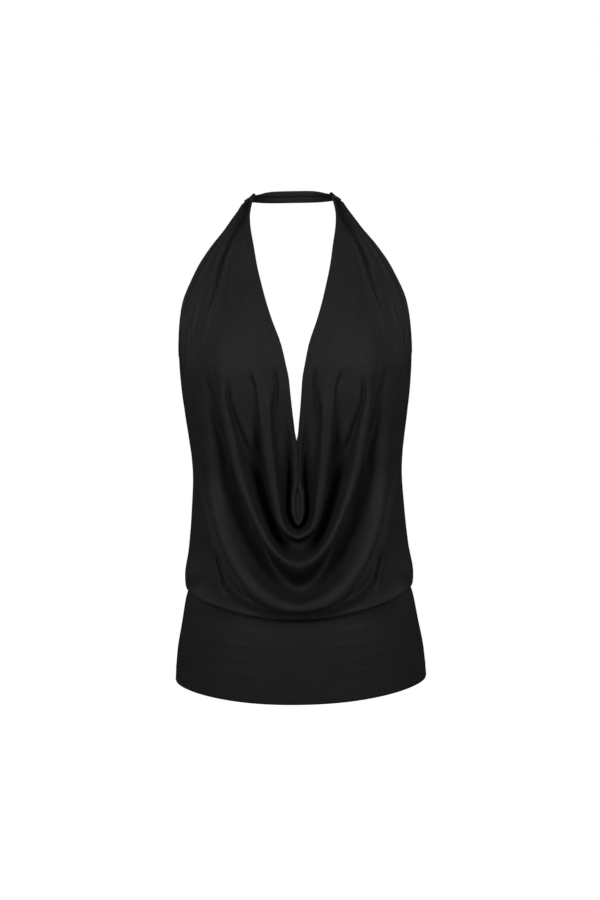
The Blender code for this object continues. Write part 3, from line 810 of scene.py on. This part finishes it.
def hip_band_points(front):
    """The panel's outer face, as columns from one side seam to the other."""
    rings = spline(BAND_RINGS)
    half = []
    for s in np.linspace(0, 1, BAND_COLUMNS + 1):
        round_ = math.sin(s * math.pi / 2)
        top = band_top(s * math.pi / 2, front)[2] + SEAM_TUCK / 2
        bottom = HEM_SIDE + ((HEM_FRONT if front else HEM_BACK) - HEM_SIDE) * round_**2
        column = []
        for share in np.linspace(0, 1, BAND_ROWS + 1):
            half_width, front_y, back_y = [np.interp(share, rings[:, 0], rings[:, k]) for k in (1, 2, 3)]
            n, side_y = BAND_TOP["squareness"], BAND_TOP["side_y"]
            x = half_width * max(0.0, math.cos(s * math.pi / 2)) ** (2 / n)
            y = side_y + ((front_y if front else back_y) - side_y) * round_ ** (2 / n)
            column.append((x, y, top + (bottom - top) * share))
        half.append(column)
    half = np.array(half)
    half[0, :, 1] += (1 if front else -1) * SEAM_LAP / 2
    half[-1, :, 0] = 0.0
    other = half * (-1, 1, 1)
    return np.vstack([other, half[-2::-1]]) if front else np.vstack([half, other[-2::-1]])


band_jersey = jersey("band_jersey")
for side, facing in (("front", -1), ("back", 1)):
    band_face = hip_band_points(side == "front")
    band_face = crease(band_face, outward_of(band_face), BAND_CREASES, facing)
    band_outward = outward_of(band_face)
    hip_band = cloth_mesh(
        "hip_band_" + side + "_cloth", turn_under(band_face, band_outward, HEM_DEPTH, BAND_HEM))
    hip_band.data.materials.append(band_jersey)
    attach(hip_band, "root")
    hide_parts("hip_band_" + side)
    band_sewn = [inside_edge(band_face, band_outward, inset, last_edge=True) for inset in BAND_HEM_ROWS]
    band_stitches = stitches("hip_band_" + side + "_stitches", band_sewn)
    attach(band_stitches, "root")

# ------------------------------------------------------------------------------------ neck strap
# A narrow strip of the jersey, folded double with its raw edges meeting inside, sewn to the gathered upper
# ends of the front panel and passing round the nape.
STRAP_WIDTH = 16.0
STRAP_TURNED = STRAP_WIDTH / 2 - 0.2    # each edge turns in, to just short of the middle
STRAP_COLUMNS, STRAP_ROWS = 48, 12      # of one half


def neck_strap_points():
    """The strap's outer face, as columns from the +X end round the nape to the other end."""
    upper, lower = np.array(NECK_SEAM_UPPER), np.array(NECK_SEAM_LOWER)
    middle, lean = (upper + lower) / 2, (upper - lower) / np.linalg.norm(upper - lower)
    nape = np.array([0.0, TURNING, 0.0])
    half = []
    for turn in np.linspace(0, math.pi / 2, STRAP_COLUMNS + 1):
        round_ = math.sin(turn)
        centre = middle + (nape - middle) * (1 - math.cos(turn), round_, round_**2)
        across = lean * (1 - round_**2) + np.array([0.0, 0.0, 1.0]) * round_**2
        across *= STRAP_WIDTH / 2 / np.linalg.norm(across)
        half.append([centre + across * (1 - 2 * k / STRAP_ROWS) for k in range(STRAP_ROWS + 1)])
    half = np.array(half)
    half[-1, :, 0] = 0.0
    half[0, :, 1] -= SEAM_LAP / 2
    return np.vstack([half, (half * (-1, 1, 1))[-2::-1]])


strap_face = neck_strap_points()
neck_strap = cloth_mesh(
    "neck_strap_cloth", turn_under(strap_face, outward_of(strap_face), STRAP_TURNED, STRAP_TURNED))
neck_strap.data.materials.append(jersey("strap_jersey"))
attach(neck_strap, "root")
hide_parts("neck_strap")

# ------------------------------------------------------------------------------------ floor, light and camera
# A pale floor far below, and softboxes above, behind, at both sides of the front and just behind each side.
# The long lens looks a little down on the chest.
FLOOR_REACH, FLOOR_Z = 40.0, -1.42
floor_mesh = bpy.data.meshes.new("floor")
corners = [(FLOOR_REACH * x, FLOOR_REACH * y, FLOOR_Z) for x, y in ((-1, -1), (1, -1), (1, 1), (-1, 1))]
floor_mesh.from_pydata(corners, [], [(0, 1, 2, 3)])
floor = bpy.data.objects.new("floor", floor_mesh)
bpy.context.scene.collection.objects.link(floor)
pale = bpy.data.materials.new("pale_floor")
pale.use_nodes = True
pale_shader = pale.node_tree.nodes["Principled BSDF"]
pale_shader.inputs["Base Color"].default_value = (0.4, 0.4, 0.4, 1)
pale_shader.inputs["Roughness"].default_value = 0.9
pale_shader.inputs["Emission Color"].default_value = (1, 1, 1, 1)
seen = pale.node_tree.nodes.new("ShaderNodeLightPath")
pale.node_tree.links.new(seen.outputs["Is Camera Ray"], pale_shader.inputs["Emission Strength"])
floor_mesh.materials.append(pale)

world = bpy.data.worlds.new("studio")
world.use_nodes = True
bpy.context.scene.world = world
nodes, links = world.node_tree.nodes, world.node_tree.links
background = nodes["Background"]
background.inputs["Color"].default_value = (1, 1, 1, 1)
path = nodes.new("ShaderNodeLightPath")
amount = nodes.new("ShaderNodeMapRange")
amount.inputs["To Min"].default_value = 0.006
amount.inputs["To Max"].default_value = 1.0
links.new(path.outputs["Is Camera Ray"], amount.inputs["Value"])
links.new(amount.outputs["Result"], background.inputs["Strength"])


def softbox(name, place, target, width, height, power):
    """An oblong soft light at the place, turned to the target."""
    light = bpy.data.lights.new(name, "AREA")
    light.shape = "RECTANGLE"
    light.size, light.size_y, light.energy = width, height, power
    lamp = bpy.data.objects.new(name, light)
    bpy.context.scene.collection.objects.link(lamp)
    lamp.location = place
    lamp.rotation_euler = (Vector(target) - Vector(place)).to_track_quat("-Z", "Y").to_euler()


CHEST = (0.0, -0.1, -0.33)
softbox("top", (0.0, -1.5, 1.9), CHEST, 0.9, 0.9, 5.5)
softbox("back", (0.0, 2.6, 1.2), CHEST, 2.4, 1.6, 30)
for side in (-1, 1):
    softbox("front_side", (1.3 * side, -2.05, 0.55), CHEST, 0.8, 1.4, 19.5)
    softbox("rim", (1.5 * side, 0.5, 0.35), (0.0, -0.1, -0.25), 0.5, 1.0, 3.4)

camera_lens = bpy.data.cameras.new("camera")
camera_lens.lens = 91.0
camera = bpy.data.objects.new("camera", camera_lens)
bpy.context.scene.collection.objects.link(camera)
bpy.context.scene.camera = camera
TARGET, DISTANCE, PITCH, LEAN = Vector((0.004, -0.07, -0.332)), 3.0, math.radians(6), math.radians(-1.0)
to_camera = Vector((0.0, -math.cos(PITCH), math.sin(PITCH)))
camera.location = TARGET + to_camera * DISTANCE
camera.rotation_euler = ((-to_camera).to_track_quat("-Z", "Y") @ Quaternion((0, 0, 1), LEAN)).to_euler()
bpy.context.scene.view_settings.view_transform = "Standard"
